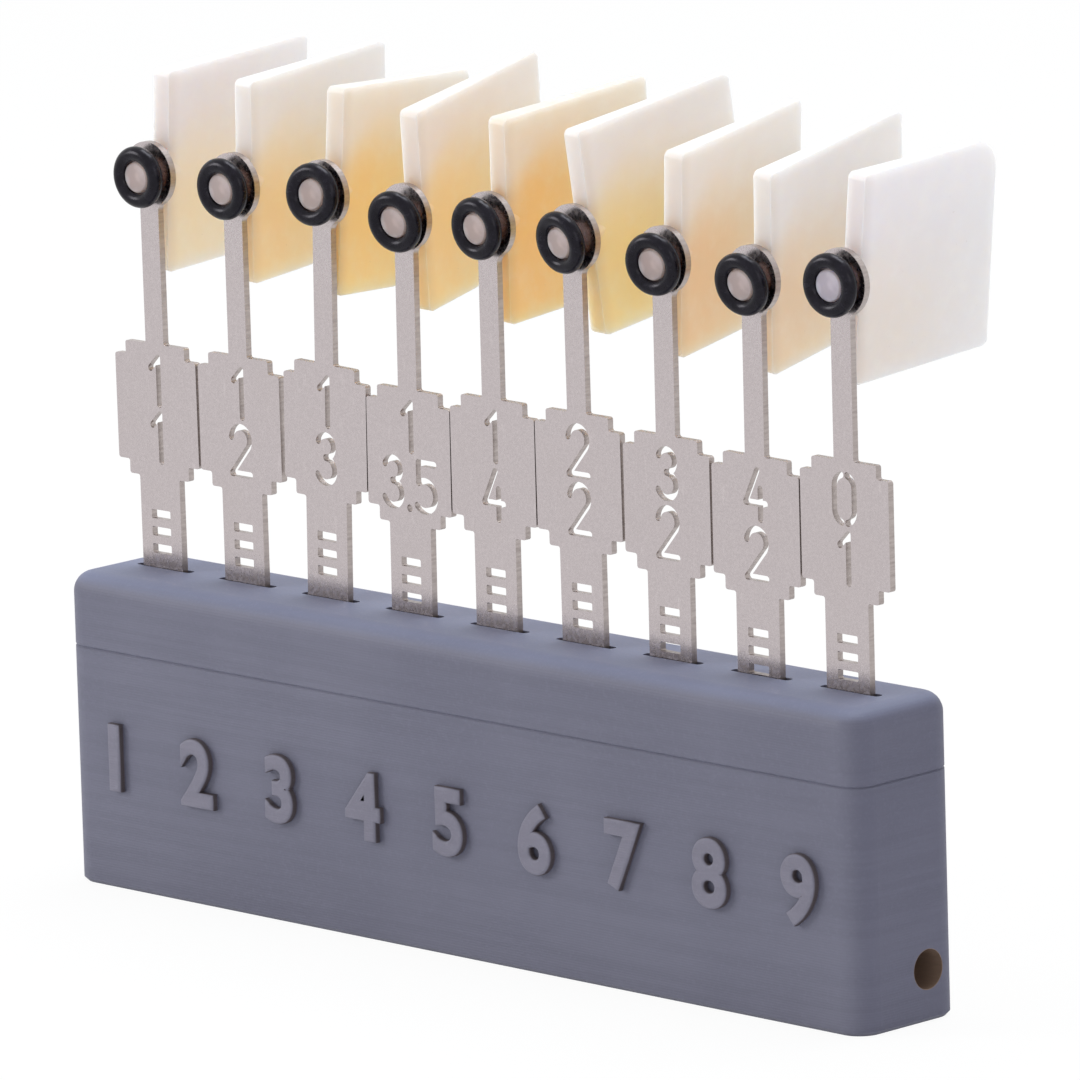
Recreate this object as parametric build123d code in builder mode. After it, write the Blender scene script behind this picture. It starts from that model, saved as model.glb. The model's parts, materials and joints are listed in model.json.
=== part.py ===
"""
Shade guide: nine translucent colour samples on sheet-metal tabs that stand in a slotted holder.

The origin is the centre of the holder's bottom face. X runs along the row of tabs from tab 1 to
tab 9, Y runs from the front of the holder to the back, and Z is up. All lengths are millimetres
and all angles are degrees.
"""

import os
from math import cos, radians, sin

from build123d import *

# Holder: a printed block in two parts, a lower body and a slotted cover
end_margin = 1.4
holder_depth = 13.4
body_height = 23.5
cover_height = 7.2
corner_radius = 2.6
top_edge_radius = 2.0
seam_chamfer = 0.15
foot_chamfer = 0.4

# Blind hole low in the right end of the holder
end_bore_radius = 1.9
end_bore_depth = 12.0
end_bore_y = 2.3
end_bore_z = 5.0

# Row of slots that the tabs stand in
tab_count = 9
tab_pitch = 11.45
slot_row_y = 0.4
slot_side_play = 0.95
slot_face_play = 0.1
slot_end_play = 1.0
slot_corner_radius = 0.3

# Tabs, cut from sheet metal. Heights are measured from the top of the holder.
sheet_thickness = 0.7
tongue_width = 5.5
tongue_insertion = 15.0
tongue_tip_radius = 0.9
lower_step_height = 8.6
body_bottom_height = 10.0
body_top_height = 20.4
shoulder_height = 21.7
tab_body_width = 11.2
tab_corner_radius = 0.3
step_width = 1.5
step_radius = 0.25
stem_width = 2.5
head_centre_height = 38.35
head_radius = 3.2
head_neck_radius = 0.8

# Figures cut through the tabs, drawn with one stroke width
figure_stroke = 0.65
figure_half_width = 1.25
figure_half_height = 2.3
upper_figure_height = 18.1
lower_figure_height = 12.5
decimal_spacing = 2.25
decimal_point_radius = 0.36
rung_width = 2.6
rung_height = 0.9
rung_corner_radius = 0.15
rung_heights = (4.9, 3.2, 1.5)

# Samples: a thin square plate that tapers away from its peg
plate_size = 20.0
plate_near_thickness = 2.0
plate_far_thickness = 0.8
plate_corner_radius = 0.7
plate_near_radius = 0.6
plate_standoff = 1.05
peg_radius = 1.5
peg_end_chamfer = 0.15
peg_protrusion = 0.4
peg_root_radius = 0.95
peg_root_length = 1.8
head_hole_play = 0.15

# Rubber ring that grips each peg in front of the tab's head
ring_section = 1.5
ring_bore_play = 0.03
ring_standoff = 0.6

# Figures on each tab, upper row then lower row
tab_figures = {
    1: ("1", "1"),
    2: ("1", "2"),
    3: ("1", "3"),
    4: ("1", "3.5"),
    5: ("1", "4"),
    6: ("2", "2"),
    7: ("3", "2"),
    8: ("4", "2"),
    9: ("0", "1"),
}

# Each tab is pinched by its slot at its own height, with a slight lean along the row
tab_stances = {
    1: (0.4, -0.3),
    2: (0.5, 0.0),
    3: (1.1, 1.25),
    4: (0.0, 0.7),
    5: (0.4, 0.3),
    6: (0.4, -0.1),
    7: (-0.4, 0.3),
    8: (-0.95, 0.4),
    9: (0.0, 0.2),
}

# Each sample sits loosely in its head: turn about Z, lift of the far edge, turn about the peg
sample_turns = {
    1: (2.0, 2.5, 5.5),
    2: (3.5, 3.5, 4.5),
    3: (7.0, -3.5, 1.5),
    4: (7.5, 8.5, 4.0),
    5: (0.5, 4.0, 3.5),
    6: (-3.0, 8.5, 0.5),
    7: (8.0, 6.0, 6.5),
    8: (3.5, 9.0, 8.5),
    9: (4.0, 1.5, 6.5),
}

# The outer sample has one more strongly rounded corner
rounded_sample = 9
rounded_corner_radius = 3.0

# Worked-out places and sizes
holder_length = tab_count * tab_pitch + 2 * end_margin
holder_top = body_height + cover_height
slot_length = tongue_width + 2 * slot_side_play
slot_width = sheet_thickness + 2 * slot_face_play
slot_floor = holder_top - tongue_insertion - slot_end_play
step_half_width = tab_body_width / 2 - step_width
head_hole_radius = peg_radius + head_hole_play
ring_bore_radius = peg_radius + ring_bore_play
ring_centre_radius = ring_bore_radius + ring_section / 2
ring_offset = sheet_thickness / 2 + ring_standoff + ring_section / 2
peg_end_offset = ring_offset + peg_protrusion
plate_offset = sheet_thickness / 2 + plate_standoff


def tab_x(number):
    """X of a tab's middle."""
    return (number - (tab_count + 1) / 2) * tab_pitch


def slot_grid():
    """Places of the nine slots in a horizontal plane."""
    return [(tab_x(number), slot_row_y) for number in range(1, tab_count + 1)]


def tab_plane(number):
    """Middle of a tab's sheet: local x along the row, local y up its stem, from the slot's mouth."""
    lift, lean = tab_stances[number]
    mouth = (tab_x(number), slot_row_y, holder_top + lift)
    row_dir = (cos(radians(lean)), 0, -sin(radians(lean)))
    return Plane(origin=mouth, x_dir=row_dir, z_dir=(0, -1, 0))


def sample_plane(number):
    """Frame of a sample at its peg: local x across the plate, local y along the peg, local z up."""
    head_centre = tab_plane(number).from_local_coords((0, head_centre_height, 0))
    return Plane(Location(tuple(head_centre), sample_turns[number], Intrinsic.ZXY))


def peg_axis(number):
    """Axis along a sample's peg, pointing at the plate."""
    frame = sample_plane(number)
    return Axis(frame.origin, frame.y_dir)


def figure_strokes(figure):
    """Centre lines of one figure about its own middle, as a list of wires.

    No line closes on itself, so that a figure cut through sheet metal keeps its middle.
    """
    w = figure_half_width
    h = figure_half_height
    upper_bowl = 0.47 * h
    lower_bowl = h - upper_bowl
    if figure == "0":
        with BuildLine(mode=Mode.PRIVATE) as left:
            CenterArc((0, h - w), w, 108, 72)
            Line((-w, h - w), (-w, w - h))
            CenterArc((0, w - h), w, 180, 72)
        with BuildLine(mode=Mode.PRIVATE) as right:
            CenterArc((0, h - w), w, 72, -72)
            Line((w, h - w), (w, w - h))
            CenterArc((0, w - h), w, 0, -72)
        return [left.wire(), right.wire()]
    if figure == "1":
        with BuildLine(mode=Mode.PRIVATE) as one:
            Polyline((-0.55 * w, h - 0.85 * w), (0.3 * w, h), (0.3 * w, -h))
        return [one.wire()]
    if figure == "2":
        with BuildLine(mode=Mode.PRIVATE) as two:
            hook = CenterArc((0, h - w), w, 170, -200)
            Polyline(hook @ 1, (-w, -h), (w, -h))
        return [two.wire()]
    if figure == "3":
        with BuildLine(mode=Mode.PRIVATE) as three:
            CenterArc((0, h - upper_bowl), upper_bowl, 155, -245)
            CenterArc((0, lower_bowl - h), lower_bowl, 90, -245)
        return [three.wire()]
    if figure == "4":
        with BuildLine(mode=Mode.PRIVATE) as slope:
            Polyline((0.2 * w, h), (-w, -0.35 * h), (w, -0.35 * h))
        with BuildLine(mode=Mode.PRIVATE) as post:
            Line((0.5 * w, 0.25 * h), (0.5 * w, -h))
        return [slope.wire(), post.wire()]
    with BuildLine(mode=Mode.PRIVATE) as five:
        Polyline((0.9 * w, h), (-0.8 * w, h), (-0.8 * w, 0.15 * h))
        ThreePointArc((-0.8 * w, 0.15 * h), (w, -0.43 * h), (-w, -0.82 * h))
    return [five.wire()]


def cut_figures(text, height):
    """Faces of one row of figures, added to the sketch in use."""
    digits = [letter for letter in text if letter != "."]
    first = -decimal_spacing * (len(digits) - 1)
    for place, digit in enumerate(digits):
        with Locations((first + 2 * decimal_spacing * place, height)):
            for stroke in figure_strokes(digit):
                SlotArc(stroke, height=figure_stroke)
    if "." in text:
        with Locations((0, height - figure_half_height)):
            Circle(decimal_point_radius)


def make_tab(number):
    """One sheet-metal tab with its head, steps, figures and rungs."""
    upper_text, lower_text = tab_figures[number]
    sheet = tab_plane(number)
    along = Axis(sheet.origin, sheet.x_dir)
    upward = Axis(sheet.origin, sheet.y_dir)
    with BuildPart() as tab:
        with BuildSketch(sheet):
            with BuildLine():
                half = Polyline(
                    (0, -tongue_insertion),
                    (tongue_width / 2, -tongue_insertion),
                    (tongue_width / 2, lower_step_height),
                    (step_half_width, lower_step_height),
                    (step_half_width, body_bottom_height),
                    (tab_body_width / 2, body_bottom_height),
                    (tab_body_width / 2, body_top_height),
                    (step_half_width, body_top_height),
                    (step_half_width, shoulder_height),
                    (stem_width / 2, shoulder_height),
                    (stem_width / 2, head_centre_height),
                    (0, head_centre_height),
                )
                mirror(half, about=Plane.YZ)
            make_face()
        extrude(amount=sheet_thickness / 2, both=True)
        levels = tab.edges().filter_by(Axis.Y).group_by(upward)
        tips = levels[0]
        body_bottom = levels[2].sort_by(along)
        body_top = levels[3].sort_by(along)
        body_corners = [body_bottom[0], body_bottom[-1], body_top[0], body_top[-1]]
        steps = levels[1] + body_bottom[1:-1] + body_top[1:-1] + levels[4]
        fillet(tips, radius=tongue_tip_radius)
        fillet(body_corners, radius=tab_corner_radius)
        fillet(steps, radius=step_radius)
        with BuildSketch(sheet):
            with Locations((0, head_centre_height)):
                Circle(head_radius)
        extrude(amount=sheet_thickness / 2, both=True)
        neck = tab.edges().filter_by(Axis.Y).group_by(upward)[-1]
        fillet(neck, radius=head_neck_radius)
        with BuildSketch(sheet):
            with Locations((0, head_centre_height)):
                Circle(head_hole_radius)
            cut_figures(upper_text, upper_figure_height)
            cut_figures(lower_text, lower_figure_height)
            with Locations([(0, height) for height in rung_heights]):
                RectangleRounded(rung_width, rung_height, rung_corner_radius)
        extrude(amount=sheet_thickness, both=True, mode=Mode.SUBTRACT)
    return tab


def make_sample(number):
    """One translucent plate with its peg."""
    frame = sample_plane(number)
    near = plate_offset
    far = plate_offset + plate_size
    with BuildPart() as sample:
        with BuildSketch(frame):
            with BuildLine():
                Polyline(
                    (-plate_near_thickness / 2, near),
                    (plate_near_thickness / 2, near),
                    (plate_far_thickness / 2, far),
                    (-plate_far_thickness / 2, far),
                    close=True,
                )
            make_face()
        extrude(amount=plate_size / 2, both=True)
        across = sample.edges().filter_by(Axis(frame.origin, frame.x_dir))
        rows = across.sort_by(Axis(frame.origin, frame.y_dir))
        near_edges = rows[:2]
        far_edges = rows[2:].sort_by(Axis(frame.origin, frame.z_dir))
        top_radius = rounded_corner_radius if number == rounded_sample else plate_corner_radius
        fillet(near_edges, radius=plate_near_radius)
        fillet(far_edges[0], radius=plate_corner_radius)
        fillet(far_edges[1], radius=top_radius)
        with BuildSketch(frame):
            with BuildLine():
                Polyline(
                    (0, -peg_end_offset),
                    (peg_radius - peg_end_chamfer, -peg_end_offset),
                    (peg_radius, peg_end_chamfer - peg_end_offset),
                    (peg_radius, near),
                    (peg_root_radius, near + peg_root_length),
                    (0, near + peg_root_length),
                    close=True,
                )
            make_face()
        revolve(axis=peg_axis(number))
    return sample


def make_ring(number):
    """Rubber ring on a sample's peg."""
    with BuildPart() as ring:
        with BuildSketch(sample_plane(number)):
            with Locations((ring_centre_radius, -ring_offset)):
                Circle(ring_section / 2)
        revolve(axis=peg_axis(number))
    return ring


# Lower body of the holder
with BuildPart() as holder_body:
    with BuildSketch():
        RectangleRounded(holder_length, holder_depth, corner_radius)
    extrude(amount=body_height)
    chamfer(holder_body.faces().sort_by(Axis.Z)[-1].edges(), length=seam_chamfer)
    chamfer(holder_body.faces().sort_by(Axis.Z)[0].edges(), length=foot_chamfer)
    with BuildSketch(Plane.XY.offset(slot_floor)):
        with Locations(slot_grid()):
            RectangleRounded(slot_length, slot_width, slot_corner_radius)
    extrude(until=Until.LAST, mode=Mode.SUBTRACT)
    end_face = Plane(origin=(holder_length / 2, end_bore_y, end_bore_z), z_dir=(1, 0, 0))
    with Locations(end_face):
        Hole(radius=end_bore_radius, depth=end_bore_depth)

# Slotted cover of the holder
with BuildPart() as holder_cover:
    with BuildSketch(Plane.XY.offset(body_height)):
        RectangleRounded(holder_length, holder_depth, corner_radius)
    extrude(amount=cover_height)
    fillet(holder_cover.faces().sort_by(Axis.Z)[-1].edges(), radius=top_edge_radius)
    chamfer(holder_cover.faces().sort_by(Axis.Z)[0].edges(), length=seam_chamfer)
    with BuildSketch(Plane.XY.offset(body_height)):
        with Locations(slot_grid()):
            RectangleRounded(slot_length, slot_width, slot_corner_radius)
    extrude(until=Until.LAST, mode=Mode.SUBTRACT)

os.makedirs("parts", exist_ok=True)

holder_body.part.label = "holder_body"
export_step(holder_body.part, "parts/holder_body.step")

holder_cover.part.label = "holder_cover"
export_step(holder_cover.part, "parts/holder_cover.step")

for number in range(1, tab_count + 1):
    tab = make_tab(number)
    tab.part.label = f"tab_{number}"
    export_step(tab.part, f"parts/tab_{number}.step")

    sample = make_sample(number)
    sample.part.label = f"sample_{number}"
    export_step(sample.part, f"parts/sample_{number}.step")

    ring = make_ring(number)
    ring.part.label = f"o_ring_{number}"
    export_step(ring.part, f"parts/o_ring_{number}.step")
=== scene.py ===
# %% [markdown]
# # A rack of tooth-colour samples
# The real object is a grey printed holder with nine metal tabs standing in its slots. Each tab's round head
# carries a translucent square sample on a peg, and a black rubber ring keeps it there. The solids come from a
# measured CAD model, so this notebook gives them light, a camera and finishes, and adds what is only relief.

# %% Load the measured frame
import bpy
import bmesh
import json
from math import radians
from mathutils import Matrix, Vector


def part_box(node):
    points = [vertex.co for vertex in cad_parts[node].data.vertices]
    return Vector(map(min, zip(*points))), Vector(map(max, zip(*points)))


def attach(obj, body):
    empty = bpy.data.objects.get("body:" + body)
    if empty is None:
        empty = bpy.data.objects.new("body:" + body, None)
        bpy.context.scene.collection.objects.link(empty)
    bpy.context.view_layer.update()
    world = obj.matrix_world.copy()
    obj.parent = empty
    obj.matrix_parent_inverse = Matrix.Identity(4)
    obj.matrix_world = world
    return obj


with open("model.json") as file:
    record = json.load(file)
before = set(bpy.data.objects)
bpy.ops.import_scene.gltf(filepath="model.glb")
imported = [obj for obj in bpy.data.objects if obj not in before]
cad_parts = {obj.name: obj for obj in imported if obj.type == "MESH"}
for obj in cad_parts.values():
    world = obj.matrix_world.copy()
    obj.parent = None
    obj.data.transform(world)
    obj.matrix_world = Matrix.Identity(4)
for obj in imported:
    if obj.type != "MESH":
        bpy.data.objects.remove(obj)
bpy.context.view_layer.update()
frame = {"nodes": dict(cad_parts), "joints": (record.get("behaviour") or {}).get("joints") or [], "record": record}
nodes = frame["nodes"]

# %% [markdown]
# ## The camera
# The photograph was taken from far away with a long lens, to the right of the holder's front and a little above
# it, so parallel edges hardly meet. A camera can be aimed by eye, by a Track To constraint, or by its matrix. The
# matrix is used here, because the view was worked out from the holder's edges: three directions and a place.

# %% Place the camera
def view_matrix(place, right, up):
    """A camera looks along its own -Z, so its Z axis is right x up, pointing back from the object."""
    right, up = Vector(right).normalized(), Vector(up).normalized()
    back = right.cross(up).normalized()
    turn = Matrix((right, up, back)).transposed().to_4x4()
    return Matrix.Translation(place) @ turn


camera_place = (0.8905, -0.8790, 0.2974)
camera_right = (0.7089, 0.7047, -0.0292)
camera_up = (-0.1223, 0.1636, 0.9789)
lens_data = bpy.data.cameras.new("photo_view")
lens_data.sensor_width = 36.0
lens_data.lens = 451.2
lens_data.clip_start, lens_data.clip_end = 0.05, 20.0
camera = bpy.data.objects.new("photo_view", lens_data)
bpy.context.scene.collection.objects.link(camera)
camera.matrix_world = view_matrix(camera_place, camera_right, camera_up)
bpy.context.scene.camera = camera
print("camera at", tuple(round(v, 3) for v in camera.location), "lens", lens_data.lens)

# %% [markdown]
# ## Starting a material
# A material is a small graph: a coordinate goes into textures, these drive colours and bumps, and all ends in one
# shader. It can be wired in the editor or by script. Every finish here starts the same way, so two short helpers
# make the empty graph and join a value or a socket to an input.

# %% Start a graph and plug things in
def start_material(name):
    """An empty graph with a Principled shader joined to the output."""
    material = bpy.data.materials.new(name)
    material.use_nodes = True
    tree = material.node_tree
    tree.nodes.clear()
    output = tree.nodes.new("ShaderNodeOutputMaterial")
    shader = tree.nodes.new("ShaderNodeBsdfPrincipled")
    tree.links.new(shader.outputs["BSDF"], output.inputs["Surface"])
    return material, tree, shader


def plug(tree, target, value):
    """Joins a socket to an input, or writes a plain value into it."""
    if isinstance(value, bpy.types.NodeSocket):
        tree.links.new(value, target)
    else:
        target.default_value = value


print("graph helpers:", start_material.__name__, plug.__name__)

# %% [markdown]
# ## Sums, steps and blends
# A real finish changes softly from one place to the next. A Color Ramp could do that by hand, but a Map Range
# node with a smooth step takes plain numbers, and a Mix node then blends two colours by its result.

# %% Reckon, step and blend
def reckon(tree, operation, first, second=0.0):
    """One Math node."""
    node = tree.nodes.new("ShaderNodeMath")
    node.operation = operation
    plug(tree, node.inputs[0], first)
    plug(tree, node.inputs[1], second)
    return node.outputs[0]


def span(tree, value, low, high, out_low=0.0, out_high=1.0):
    """Smooth step: value from low to high becomes out_low to out_high."""
    node = tree.nodes.new("ShaderNodeMapRange")
    node.interpolation_type = "SMOOTHSTEP"
    plug(tree, node.inputs["Value"], value)
    for name, number in (("From Min", low), ("From Max", high), ("To Min", out_low), ("To Max", out_high)):
        plug(tree, node.inputs[name], number)
    return node.outputs["Result"]


def blend_colour(tree, share, first, second, mode="MIX"):
    """One Mix node for colours. A share of 0 gives the first colour."""
    node = tree.nodes.new("ShaderNodeMix")
    node.data_type, node.blend_type = "RGBA", mode
    plug(tree, node.inputs["Factor"], share)
    for target, value in ((node.inputs[6], first), (node.inputs[7], second)):
        plug(tree, target, value if isinstance(value, bpy.types.NodeSocket) else (*value, 1.0))
    return node.outputs[2]


print("mixing helpers:", reckon.__name__, span.__name__, blend_colour.__name__)

# %% [markdown]
# ## Where a pattern sits
# A pattern has to stay on its piece when the piece turns. Object coordinates do that: they are metres on the piece
# itself. A Mapping node moves, turns or stretches them, and the object's own normal tells which way a face looks.

# %% Find a place and a direction on the piece
def own_place(tree, location=(0, 0, 0), rotation=(0, 0, 0), scale=(1, 1, 1)):
    """Object coordinates seen from a place and turn on the piece. Metres go in, scaled metres come out."""
    source = tree.nodes.new("ShaderNodeTexCoord")
    mapping = tree.nodes.new("ShaderNodeMapping")
    mapping.vector_type = "TEXTURE"
    mapping.inputs["Location"].default_value = location
    mapping.inputs["Rotation"].default_value = rotation
    mapping.inputs["Scale"].default_value = scale
    tree.links.new(source.outputs["Object"], mapping.inputs["Vector"])
    return mapping.outputs["Vector"]


def parts_of(tree, vector, axis):
    """One of the X, Y and Z parts of a vector."""
    node = tree.nodes.new("ShaderNodeSeparateXYZ")
    tree.links.new(vector, node.inputs[0])
    return node.outputs[axis]


def own_facing(tree, axis):
    """How far the surface looks along one of the object's own axes, from -1 to 1."""
    return parts_of(tree, tree.nodes.new("ShaderNodeTexCoord").outputs["Normal"], axis)


print("place helpers:", own_place.__name__, parts_of.__name__, own_facing.__name__)

# %% [markdown]
# ## Grain and relief
# Real surfaces are never one flat colour or quite smooth. Noise gives the uneven grain, and a Bump node makes fine
# relief from it. Modelling such small relief would cost millions of faces for the same look.

# %% Make grain and fine relief
def grain(tree, place, per_metre, detail=4.0, rough=0.55):
    """Noise between 0 and 1 with so many lumps to the metre."""
    node = tree.nodes.new("ShaderNodeTexNoise")
    plug(tree, node.inputs["Vector"], place)
    plug(tree, node.inputs["Scale"], per_metre)
    plug(tree, node.inputs["Detail"], detail)
    plug(tree, node.inputs["Roughness"], rough)
    return node.outputs["Fac"]


def raise_surface(tree, height, depth, strength=1.0, under=None):
    """A Bump node, whose depth is the real height of the texture in metres."""
    node = tree.nodes.new("ShaderNodeBump")
    plug(tree, node.inputs["Strength"], strength)
    plug(tree, node.inputs["Distance"], depth)
    plug(tree, node.inputs["Height"], height)
    if under is not None:
        plug(tree, node.inputs["Normal"], under)
    return node.outputs["Normal"]


print("surface helpers:", grain.__name__, raise_surface.__name__)

# %% [markdown]
# ## Measures of the holder
# Some of the holder's finish depends on where its front wall, its top and its end hole are. Those could be typed
# in, but they are read from the loaded solids and the record, so that they follow the CAD model.

# %% Measure the holder
wall_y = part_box("holder_body")[0].y
holder_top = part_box("holder_cover")[1].z
bore = next(Vector(mount["pos_m"]) for mount in frame["record"]["mounts"] if mount["name"] == "end_bore")
print("front wall at y", wall_y, "top at z", holder_top, "end hole at", tuple(bore))

# %% [markdown]
# ## The print's grey
# The holder was printed in layers and left unpainted: a matt bluish grey with faint level bands, a fine tooth and
# soft lighter clouds. An even colour would look like cast plastic, so three noises of different size blend in.

# %% Mix the print's grey
def layered_grey(tree, clouds, wide_bands, tooth):
    colour = blend_colour(tree, span(tree, clouds, 0.3, 0.7), (0.136, 0.137, 0.191), (0.156, 0.157, 0.214))
    colour = blend_colour(tree, span(tree, wide_bands, 0.42, 0.62, 0.0, 0.35), colour, (0.123, 0.124, 0.173))
    return blend_colour(tree, span(tree, tooth, 0.45, 0.75, 0.0, 0.45), colour, (0.177, 0.178, 0.237))


print("grey from", layered_grey.__name__)

# %% [markdown]
# ## Lighter top, darker ends
# In the photograph the holder's top is lighter and its end darker than the lamps here make them. More lamps could
# mend that, but they wash out the samples. So the colour itself is changed by the way a face looks. This is a
# correction of the light, and it isn't known to be a difference in the real print. It stops below the rounded top,
# or the small chamfer of the seam would turn pale as well.

# %% Shade the print by the way it looks
top_tint, end_tint = (1.36, 1.47, 1.57), (0.82, 0.82, 0.87)


def shade_by_side(tree, place, colour):
    # Painted light on the top and painted shade on the ends.
    near_top = span(tree, parts_of(tree, place, "Z"), holder_top - 0.006, holder_top - 0.003)
    painted_top_light = reckon(tree, "MULTIPLY", near_top, span(tree, own_facing(tree, "Z"), 0.35, 0.95))
    colour = blend_colour(tree, painted_top_light, colour, top_tint, "MULTIPLY")
    painted_end_shade = span(tree, reckon(tree, "ABSOLUTE", own_facing(tree, "X")), 0.40, 0.95)
    return blend_colour(tree, painted_end_shade, colour, end_tint, "MULTIPLY")


print("tints of top and ends", top_tint, end_tint)

# %% [markdown]
# ## The end hole's lining
# The hole low in the right end looks brown inside. Its wall is part of the holder's mesh, so it can't have its own
# slot without a change to the solid. The distance from the hole's axis picks it out instead. The mask also has to
# stop short of the other end, which is closed, or the same disc would be painted there.

# %% Line the end hole
lining_inner, lining_outer = 0.00191, 0.00197
flatten_x = 1e6


def line_end_hole(tree, place, clouds, colour):
    from_axis = tree.nodes.new("ShaderNodeVectorMath")
    from_axis.operation = "LENGTH"
    tree.links.new(own_place(tree, location=bore, scale=(flatten_x, 1, 1)), from_axis.inputs[0])
    bore_end = span(tree, parts_of(tree, place, "X"), bore[0] - 0.015, bore[0] - 0.012)
    within = span(tree, from_axis.outputs["Value"], lining_outer, lining_inner)
    lining = reckon(tree, "MULTIPLY", within, bore_end)
    brown = blend_colour(tree, clouds, (0.13, 0.085, 0.062), (0.32, 0.22, 0.165))
    return blend_colour(tree, lining, colour, brown)


print("lining inside radius", lining_outer)

# %% [markdown]
# ## Shading of the relief
# Raised print on a wall shows as light tops with dark flanks, painted here into the colour. The numbers share the
# holder's material, as the real relief shares its plastic. What lies in front of the wall gets painted light, and
# what of that looks sideways painted shade.

# %% Shade the relief
def shade_relief(tree, place, colour):
    in_front = span(tree, parts_of(tree, place, "Y"), wall_y - 0.00003, wall_y - 0.0002)
    flank = span(tree, reckon(tree, "ABSOLUTE", own_facing(tree, "Y")), 0.80, 0.25)
    # Painted light on the raised tops, painted shade on their flanks.
    colour = blend_colour(tree, in_front, colour, (1.34, 1.28, 1.20), "MULTIPLY")
    return blend_colour(tree, reckon(tree, "MULTIPLY", in_front, flank), colour, (0.075, 0.060, 0.066))


print("relief lies in front of y", wall_y)

# %% [markdown]
# ## Layer lines and the whole print
# The printer leaves a line at each layer. The lines could be modelled, but they are only hundredths of a
# millimetre deep, so a banded bump is better. Two widths of band keep it from looking like a ruled pattern.

# %% Make the printed grey
def layer_lines(tree, place):
    waves = tree.nodes.new("ShaderNodeTexWave")
    waves.wave_type, waves.bands_direction = "BANDS", "Z"
    plug(tree, waves.inputs["Vector"], place)
    for name, number in (("Scale", 1250.0), ("Distortion", 1.2), ("Detail", 2.0), ("Detail Scale", 0.02)):
        waves.inputs[name].default_value = number
    return waves.outputs["Fac"]


def make_printed_grey():
    material, tree, shader = start_material("printed_grey")
    place = own_place(tree)
    layers = own_place(tree, scale=(9.0, 9.0, 0.25))
    tooth = grain(tree, place, 2600, detail=5)
    clouds = grain(tree, place, 55, detail=3)
    wide_bands = grain(tree, layers, 260, detail=2)
    colour = layered_grey(tree, clouds, wide_bands, tooth)
    colour = shade_by_side(tree, place, colour)
    colour = line_end_hole(tree, place, clouds, colour)
    colour = shade_relief(tree, place, colour)
    plug(tree, shader.inputs["Base Color"], colour)
    plug(tree, shader.inputs["Roughness"], span(tree, tooth, 0.2, 0.8, 0.50, 0.66))
    lines = raise_surface(tree, layer_lines(tree, place), 0.000012, 0.55)
    bands = raise_surface(tree, wide_bands, 0.00004, 0.5, lines)
    plug(tree, shader.inputs["Normal"], raise_surface(tree, tooth, 0.00003, 0.6, bands))
    shader.inputs["Specular IOR Level"].default_value = 0.42
    return material


printed_grey = make_printed_grey()
print("made", printed_grey.name)

# %% [markdown]
# ## The sheet's faces
# The tabs are cut from thin stainless sheet with a dull rolled finish: bright, warm grey and finely speckled. A
# plain metal would mirror the white studio and vanish, so pits, streaks and stains break the colour up.

# %% Colour the sheet's faces
def rolled_grey(tree, speckle, pits, streaks, stains):
    colour = blend_colour(tree, span(tree, speckle, 0.35, 0.68), (0.485, 0.435, 0.440), (0.545, 0.490, 0.495))
    colour = blend_colour(tree, span(tree, pits, 0.60, 0.76, 0.0, 0.30), colour, (0.36, 0.32, 0.31))
    colour = blend_colour(tree, span(tree, streaks, 0.58, 0.78, 0.0, 0.28), colour, (0.70, 0.64, 0.64))
    return blend_colour(tree, span(tree, stains, 0.45, 0.75, 0.0, 0.25), colour, (0.50, 0.445, 0.44))


print("metal from", rolled_grey.__name__)

# %% [markdown]
# ## Cut walls and painted shade at the feet
# A cut edge is browner and rougher than the sheet. The walls are found by the surface's own direction, because the
# sheet's two faces look along Y and the cut walls don't, which needs no second material. Just above the holder the
# tabs look darker from shade and the holder's dark reflection, so a ragged painted shade fades in over the last two
# millimetres.

# %% Make the sheet metal
foot_shade_height, wall_roughness = 0.0022, 0.12


def burn_walls(tree, wall, colour):
    beam_marks = grain(tree, own_place(tree, scale=(1.0, 8.0, 1.0)), 4200, detail=2)
    burnt = blend_colour(tree, beam_marks, (0.27, 0.23, 0.22), (0.58, 0.52, 0.50))
    return blend_colour(tree, wall, colour, burnt)


# Painted shade and painted dark reflection of the holder on the tabs just above it.
def soil_feet(tree, place, pits, colour):
    foot = span(tree, parts_of(tree, place, "Z"), holder_top + foot_shade_height, holder_top + 0.0002)
    painted_foot_shade = reckon(tree, "MULTIPLY", foot, span(tree, pits, 0.30, 0.62, 0.35, 0.80))
    return blend_colour(tree, painted_foot_shade, colour, (0.20, 0.165, 0.155))


def make_sheet_metal():
    material, tree, shader = start_material("sheet_metal")
    place = own_place(tree)
    speckle = grain(tree, place, 5200, detail=3, rough=0.7)
    pits = grain(tree, place, 1900, detail=4, rough=0.6)
    streaks = grain(tree, own_place(tree, scale=(1.0, 1.0, 3.5)), 1500, detail=4)
    stains = grain(tree, place, 120, detail=3)
    wall = span(tree, reckon(tree, "ABSOLUTE", own_facing(tree, "Y")), 0.95, 0.75)
    colour = burn_walls(tree, wall, rolled_grey(tree, speckle, pits, streaks, stains))
    plug(tree, shader.inputs["Base Color"], soil_feet(tree, place, pits, colour))
    shader.inputs["Metallic"].default_value = 1.0
    smooth = span(tree, pits, 0.3, 0.75, 0.20, 0.34)
    rougher_wall = reckon(tree, "MULTIPLY", wall, wall_roughness)
    plug(tree, shader.inputs["Roughness"], reckon(tree, "ADD", smooth, rougher_wall))
    rough = raise_surface(tree, speckle, 0.000003, 0.3)
    plug(tree, shader.inputs["Normal"], raise_surface(tree, streaks, 0.000005, 0.3, rough))
    return material


sheet_metal = make_sheet_metal()
print("made", sheet_metal.name)

# %% [markdown]
# ## Black rubber
# The rings are moulded rubber: nearly black, a little violet where the light skims them, with a soft gloss. One
# black would look like a hole in the picture, so the colour varies a little. A fine dust and a slightly uneven
# skin keep the highlight from looking like glass.

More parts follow.
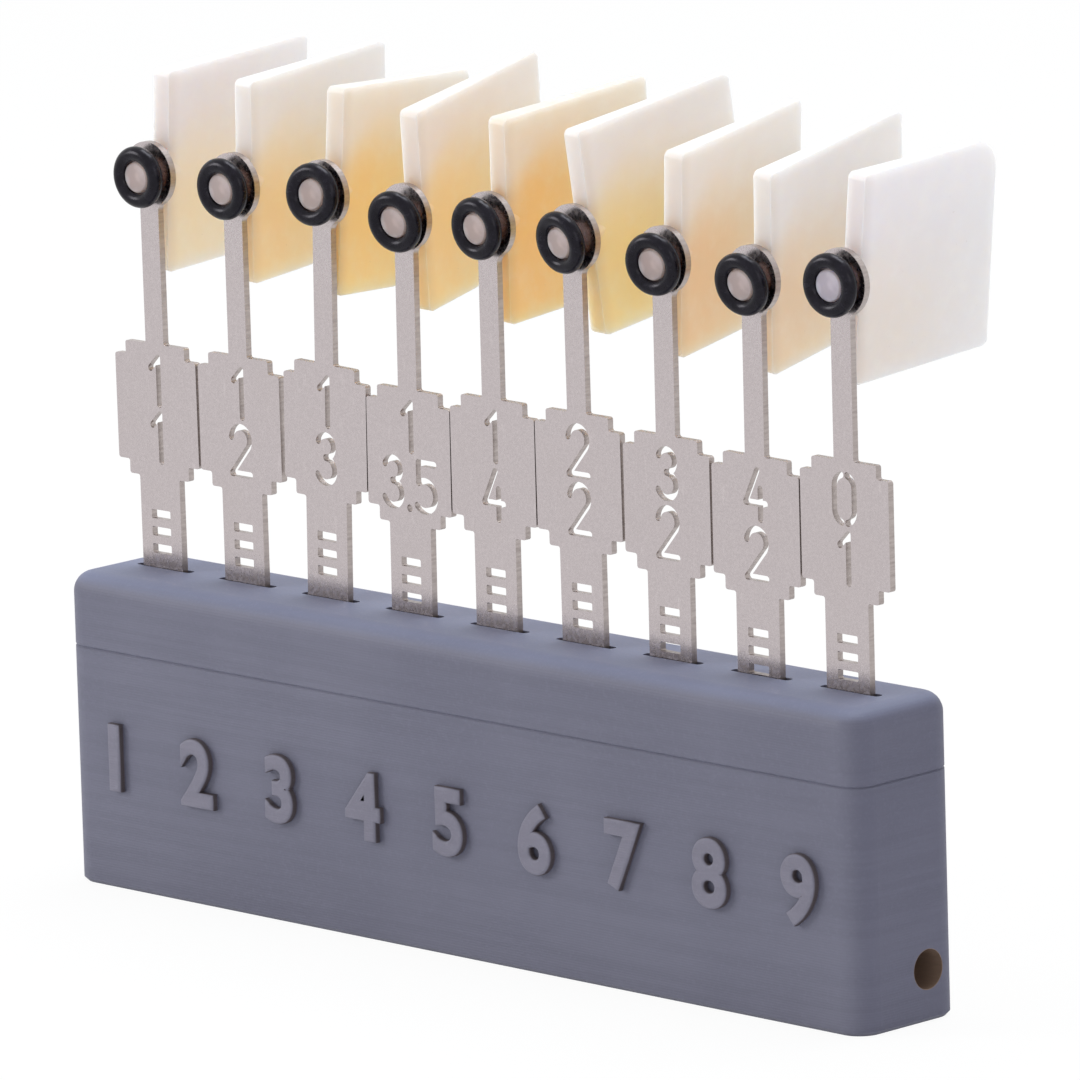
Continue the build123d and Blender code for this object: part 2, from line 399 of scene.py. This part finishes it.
# %% Make the black rubber
def make_black_rubber():
    material, tree, shader = start_material("black_rubber")
    place = own_place(tree)
    skin = grain(tree, place, 1400, detail=4)
    dust = grain(tree, place, 5200, detail=4, rough=0.7)
    colour = blend_colour(tree, span(tree, skin, 0.3, 0.7), (0.003, 0.0025, 0.005), (0.009, 0.008, 0.013))
    colour = blend_colour(tree, span(tree, dust, 0.66, 0.80, 0.0, 0.25), colour, (0.04, 0.04, 0.055))
    plug(tree, shader.inputs["Base Color"], colour)
    plug(tree, shader.inputs["Roughness"], span(tree, skin, 0.3, 0.7, 0.20, 0.28))
    plug(tree, shader.inputs["Normal"], raise_surface(tree, skin, 0.00003, 0.25))
    shader.inputs["Specular IOR Level"].default_value = 0.20
    shader.inputs["Specular Tint"].default_value = (0.94, 0.90, 1.0, 1)
    return material


black_rubber = make_black_rubber()
print("made", black_rubber.name)

# %% [markdown]
# ## The samples
# Each sample is a square translucent plate with its peg, and its colour lies inside it: pale at the rim and the
# top, warm and deep towards the middle and the bottom. Real layers of glass would be slow and noisy to render, so
# the colour is placed by the plate's own coordinates and the shader scatters light beneath it. The turns repeat the
# CAD model's, and the colours were chosen against the photograph.

# %% How each plate hangs and what colour it has
# turn about Z, lift of the far edge and turn about the peg, in degrees
plate_turns = {1: (2, 2.5, 5.5), 2: (3.5, 3.5, 4.5), 3: (7, -3.5, 1.5), 4: (7.5, 8.5, 4), 5: (0.5, 4, 3.5),
               6: (-3, 8.5, 0.5), 7: (8, 6, 6.5), 8: (3.5, 9, 8.5), 9: (4, 1.5, 6.5)}
# rim colour, core colour, and the share of the height over which the colour deepens (0 to 1)
plate_shades = {1: ((0.83, 0.79, 0.81), (0.88, 0.76, 0.61), 0.80),
                2: ((0.86, 0.83, 0.83), (0.90, 0.69, 0.43), 0.72),
                3: ((0.87, 0.79, 0.72), (0.94, 0.67, 0.32), 0.50),
                4: ((0.87, 0.79, 0.75), (0.94, 0.69, 0.37), 0.55),
                5: ((0.87, 0.75, 0.65), (0.92, 0.62, 0.28), 0.38),
                6: ((0.87, 0.82, 0.81), (0.94, 0.74, 0.42), 0.66),
                7: ((0.86, 0.80, 0.77), (0.83, 0.62, 0.39), 0.60),
                8: ((0.85, 0.82, 0.81), (0.83, 0.67, 0.50), 0.72),
                9: ((0.83, 0.80, 0.84), (0.80, 0.74, 0.71), 0.80)}
half_plate, near_edge = 0.010, 0.0014
hinges = {joint["child"]: joint for joint in frame["joints"]}
print("plates:", len(plate_shades))

# %% [markdown]
# ## A plate's own axes
# A plate's colour must follow the plate, which hangs a little crooked. The hinge of each sample gives a point on
# its peg, and the three small turns give the plate's own axes. A Mapping node of type Texture undoes both, so
# that Y runs from the near edge to the far one and Z runs up, for every plate alike.

# %% Find a plate's own axes
def plate_place(tree, number):
    turn_z, lift, turn_peg = (radians(v) for v in plate_turns[number])
    turn = Matrix.Rotation(turn_z, 3, "Z") @ Matrix.Rotation(lift, 3, "X") @ Matrix.Rotation(turn_peg, 3, "Y")
    pin = Vector(hinges[f"sample_{number}_with_ring"]["pos_m"])
    return own_place(tree, location=pin, rotation=turn.to_euler("XYZ"))


print("axes from", len(hinges), "hinges")

# %% [markdown]
# ## How deep the colour is
# The warm core starts behind a pale rim, whose edge leans in towards the top, and thins out again to the far edge
# and the foot. Painting each plate by hand would be another way. Here four smooth steps are multiplied, and a
# slow noise shifts them a little so that no boundary runs quite straight.

# %% Reckon the depth of colour
def colour_depth(tree, local, across, up, reach):
    drift = reckon(tree, "MULTIPLY", reckon(tree, "SUBTRACT", grain(tree, local, 90, detail=1), 0.5), 0.003)
    height = reckon(tree, "ADD", up, drift)
    depth_in = reckon(tree, "ADD", reckon(tree, "SUBTRACT", across, near_edge), drift)
    below_top = span(tree, height, half_plate * 0.98, half_plate * (0.98 - 1.9 * reach))
    wedge = span(tree, height, -0.003, half_plate, -0.0046, 0.0046)
    behind_rim = span(tree, reckon(tree, "SUBTRACT", depth_in, wedge), -0.0012, 0.0044)
    to_far_edge = span(tree, depth_in, 0.004, 0.0205, 1.0, 0.38)
    above_foot = span(tree, up, -half_plate, -half_plate + 0.0018, 0.86, 1.0)
    deep = reckon(tree, "MULTIPLY", below_top, behind_rim)
    return reckon(tree, "MULTIPLY", reckon(tree, "MULTIPLY", deep, to_far_edge), above_foot)


print("depth from", colour_depth.__name__)

# %% [markdown]
# ## The pegs
# The peg is one piece with its plate, but its end looks greyer, and the last one's is cooler than the others. The
# solid has one slot, so the peg is picked out as all that lies in front of the plate, and gets its own two tones.

# %% Colour the pegs
cool_peg = (0.46, 0.40, 0.46), (0.60, 0.53, 0.59)
warm_peg = (0.42, 0.32, 0.305), (0.55, 0.44, 0.425)


def colour_peg(tree, local, across, number, colour):
    peg = span(tree, across, 0.0008, 0.0002)
    tones = cool_peg if number == 9 else warm_peg
    peg_colour = blend_colour(tree, span(tree, grain(tree, local, 520, detail=2), 0.40, 0.62), *tones)
    return blend_colour(tree, reckon(tree, "MULTIPLY", peg, 0.92), colour, peg_colour)


print("peg tones", warm_peg, cool_peg)

# %% [markdown]
# ## The sample materials
# A translucent body shows light that has gone in and come out elsewhere. Transmission would show the tabs through
# it as through glass, so subsurface scattering is used, a few millimetres deep. Faint milk and specks break up the
# body, and the near face is toned down, because the lamps alone leave it too bright.

# %% Make the sample materials
def make_shade(number):
    rim, core, reach = plate_shades[number]
    material, tree, shader = start_material(f"shade_{number}")
    local = plate_place(tree, number)
    parts = tree.nodes.new("ShaderNodeSeparateXYZ")
    tree.links.new(local, parts.inputs[0])
    across, up = parts.outputs["Y"], parts.outputs["Z"]
    colour = blend_colour(tree, colour_depth(tree, local, across, up, reach), rim, core)
    milk = grain(tree, local, 420, detail=4)
    colour = blend_colour(tree, span(tree, milk, 0.40, 0.75, 0.0, 0.16), colour, (0.95, 0.93, 0.90))
    specks = grain(tree, local, 2600, detail=2)
    colour = blend_colour(tree, span(tree, specks, 0.72, 0.80, 0.0, 0.22), colour, (0.42, 0.32, 0.24))
    near_face = span(tree, across, near_edge + 0.0018, near_edge - 0.0002)
    colour = blend_colour(tree, near_face, colour, (0.89, 0.86, 0.84), "MULTIPLY")
    plug(tree, shader.inputs["Base Color"], colour_peg(tree, local, across, number, colour))
    shader.inputs["Subsurface Weight"].default_value = 1.0
    shader.inputs["Subsurface Radius"].default_value = (1.0, 0.85, 0.7)
    shader.inputs["Subsurface Scale"].default_value = 0.0035
    plug(tree, shader.inputs["Roughness"], span(tree, milk, 0.3, 0.8, 0.34, 0.50))
    plug(tree, shader.inputs["Normal"], raise_surface(tree, milk, 0.00006, 0.25))
    shader.inputs["Specular IOR Level"].default_value = 0.45
    return material


shades = {number: make_shade(number) for number in plate_shades}
print("made", len(shades), "sample materials")

# %% [markdown]
# ## Dress the solids
# Every real piece is its own solid, and pieces of one stuff share one finish. Materials could be given by hand in
# the editor, but the record already says which slot each node has. A CAD node keeps its mesh, and only the
# material in its slot changes.

# %% Give every solid its finish
finishes = {"printed_grey": printed_grey, "sheet_metal": sheet_metal, "black_rubber": black_rubber}
finishes.update({f"shade_{number}": material for number, material in shades.items()})
slot_of = {part["node"]: part["material_slot"] for part in frame["record"]["subparts"]}
for name, solid in nodes.items():
    for slot in solid.material_slots:
        slot.material = finishes[slot_of[name]]
print("dressed", len(nodes), "solids in", len(finishes), "finishes")

# %% [markdown]
# ## Raised slot numbers
# The holder's front has printed relief on it. Plain numbers stand here, one under each slot. Figures could be drawn
# as curves point by point, but Blender's own text is ready: a flat filled curve. A little offset makes it bold, an
# extrusion lifts it off the wall and a small round bevel gives the soft rim of a print. It becomes a mesh before it
# is turned upright, so that its object stays at the origin.

# %% Model the raised numbers
slot_pitch = 0.01145
number_height, number_lift, number_level = 0.0063, 0.0008, 0.0132
size_for_height, bolder = 1.38, 0.00008


def raise_number(number):
    text = bpy.data.curves.new(f"slot_number_{number}", "FONT")
    text.body, text.align_x, text.align_y = str(number), "CENTER", "CENTER"
    text.size, text.offset = number_height * size_for_height, bolder
    text.extrude, text.bevel_depth, text.bevel_resolution = 0.0004, 0.00030, 4
    text.resolution_u = 8
    carrier = bpy.data.objects.new("text_carrier", text)
    bpy.context.scene.collection.objects.link(carrier)
    bpy.context.view_layer.update()
    solved = carrier.evaluated_get(bpy.context.evaluated_depsgraph_get())
    mesh = bpy.data.meshes.new_from_object(solved)
    bpy.data.objects.remove(carrier)
    front = max(v.co.z for v in mesh.vertices)
    middle = (min(v.co.y for v in mesh.vertices) + max(v.co.y for v in mesh.vertices)) / 2
    stand_up = Matrix.Rotation(radians(90), 4, "X")
    place = Vector(((number - 5) * slot_pitch, wall_y - number_lift, number_level))
    mesh.transform(Matrix.Translation(place) @ stand_up @ Matrix.Translation((0, -middle, -front)))
    piece = bpy.data.objects.new(f"slot_number_{number}", mesh)
    bpy.context.scene.collection.objects.link(piece)
    mesh.materials.clear()
    mesh.materials.append(printed_grey)
    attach(piece, "holder")
    return piece


raised_numbers = [raise_number(number) for number in range(1, 10)]
print("raised", len(raised_numbers), "numbers, front at y", wall_y - number_lift)

# %% [markdown]
# ## The floor
# The photograph is a studio shot on pure white. A white floor under lamps still comes out grey, so through the Light
# Path node it mostly glows white to the camera and to gloss. It keeps a small share of real shading, so a trace of
# the holder's shadow still shows.

# %% Lay the floor
floor_half_side, paper_white, white_share = 4.0, 0.90, 0.93


def seen_directly(tree):
    """1 for rays of the camera, of gloss and of transmission, 0 for the light that falls on things."""
    path = tree.nodes.new("ShaderNodeLightPath")
    seen = reckon(tree, "MAXIMUM", path.outputs["Is Camera Ray"], path.outputs["Is Glossy Ray"])
    return reckon(tree, "MAXIMUM", seen, path.outputs["Is Transmission Ray"])


def make_floor():
    mesh = bpy.data.meshes.new("studio_floor")
    shape = bmesh.new()
    bmesh.ops.create_grid(shape, x_segments=2, y_segments=2, size=floor_half_side)
    shape.to_mesh(mesh)
    shape.free()
    floor = bpy.data.objects.new("studio_floor", mesh)
    bpy.context.scene.collection.objects.link(floor)
    material = bpy.data.materials.new("studio_floor")
    material.use_nodes = True
    tree = material.node_tree
    tree.nodes.clear()
    output = tree.nodes.new("ShaderNodeOutputMaterial")
    paper = tree.nodes.new("ShaderNodeBsdfDiffuse")
    paper.inputs["Color"].default_value = (paper_white, paper_white, paper_white, 1)
    glow = tree.nodes.new("ShaderNodeEmission")
    glow.inputs["Color"].default_value = (1, 1, 1, 1)
    share = reckon(tree, "MULTIPLY", seen_directly(tree), white_share)
    mix = tree.nodes.new("ShaderNodeMixShader")
    plug(tree, mix.inputs[0], share)
    tree.links.new(paper.outputs[0], mix.inputs[1])
    tree.links.new(glow.outputs[0], mix.inputs[2])
    tree.links.new(mix.outputs[0], output.inputs["Surface"])
    mesh.materials.append(material)
    return floor


studio_floor = make_floor()
print("floor at z", studio_floor.location.z)

# %% [markdown]
# ## The world
# A studio's white walls also fill the shadows. The world is plain white to the camera, but gives less light than it
# shows, or the grey print would lose its shape. An image of a studio would be another way, with nothing to gain
# on an object this plain.

# %% Light the world
world_fill = 0.47


def make_world(fill):
    world = bpy.data.worlds.new("white_studio")
    bpy.context.scene.world = world
    world.use_nodes = True
    tree = world.node_tree
    tree.nodes.clear()
    output = tree.nodes.new("ShaderNodeOutputWorld")
    sky = tree.nodes.new("ShaderNodeBackground")
    plug(tree, sky.inputs["Color"], (1, 1, 1, 1))
    plug(tree, sky.inputs["Strength"], span(tree, seen_directly(tree), 0.0, 1.0, fill, 1.0))
    tree.links.new(sky.outputs[0], output.inputs["Surface"])
    return world


make_world(world_fill)
print("world gives", world_fill, "of the white it shows")

# %% [markdown]
# ## The lamps
# The photograph has soft light with no hard shadow. Area lamps give that, and a sun or a spot would not. The main
# one hangs to the front left, a cooler one above for the holder's top and the samples, and a weak one to the right.

# %% Hang the lamps
def hang_lamp(name, place, watts, size, aim=(0, 0, 0.04), colour=(1, 1, 1)):
    """A square soft box that looks at the object."""
    data = bpy.data.lights.new(name, "AREA")
    data.energy, data.size, data.color = watts, size, colour
    lamp = bpy.data.objects.new(name, data)
    lamp.location = place
    lamp.rotation_euler = (Vector(place) - Vector(aim)).to_track_quat("Z", "Y").to_euler()
    bpy.context.scene.collection.objects.link(lamp)
    return lamp


hang_lamp("soft_box_left", (-0.72, -0.72, 0.46), 4.2, 0.42)
hang_lamp("soft_box_top", (-0.05, 0.22, 0.93), 6.7, 0.55, colour=(0.92, 0.96, 1.0))
hang_lamp("soft_box_right", (0.95, -0.40, 0.45), 1.0, 0.50)

# %% [markdown]
# ## Finish
# The plain Standard view keeps written colours as they are.

# %% Finish
bpy.context.scene.view_settings.view_transform = "Standard"
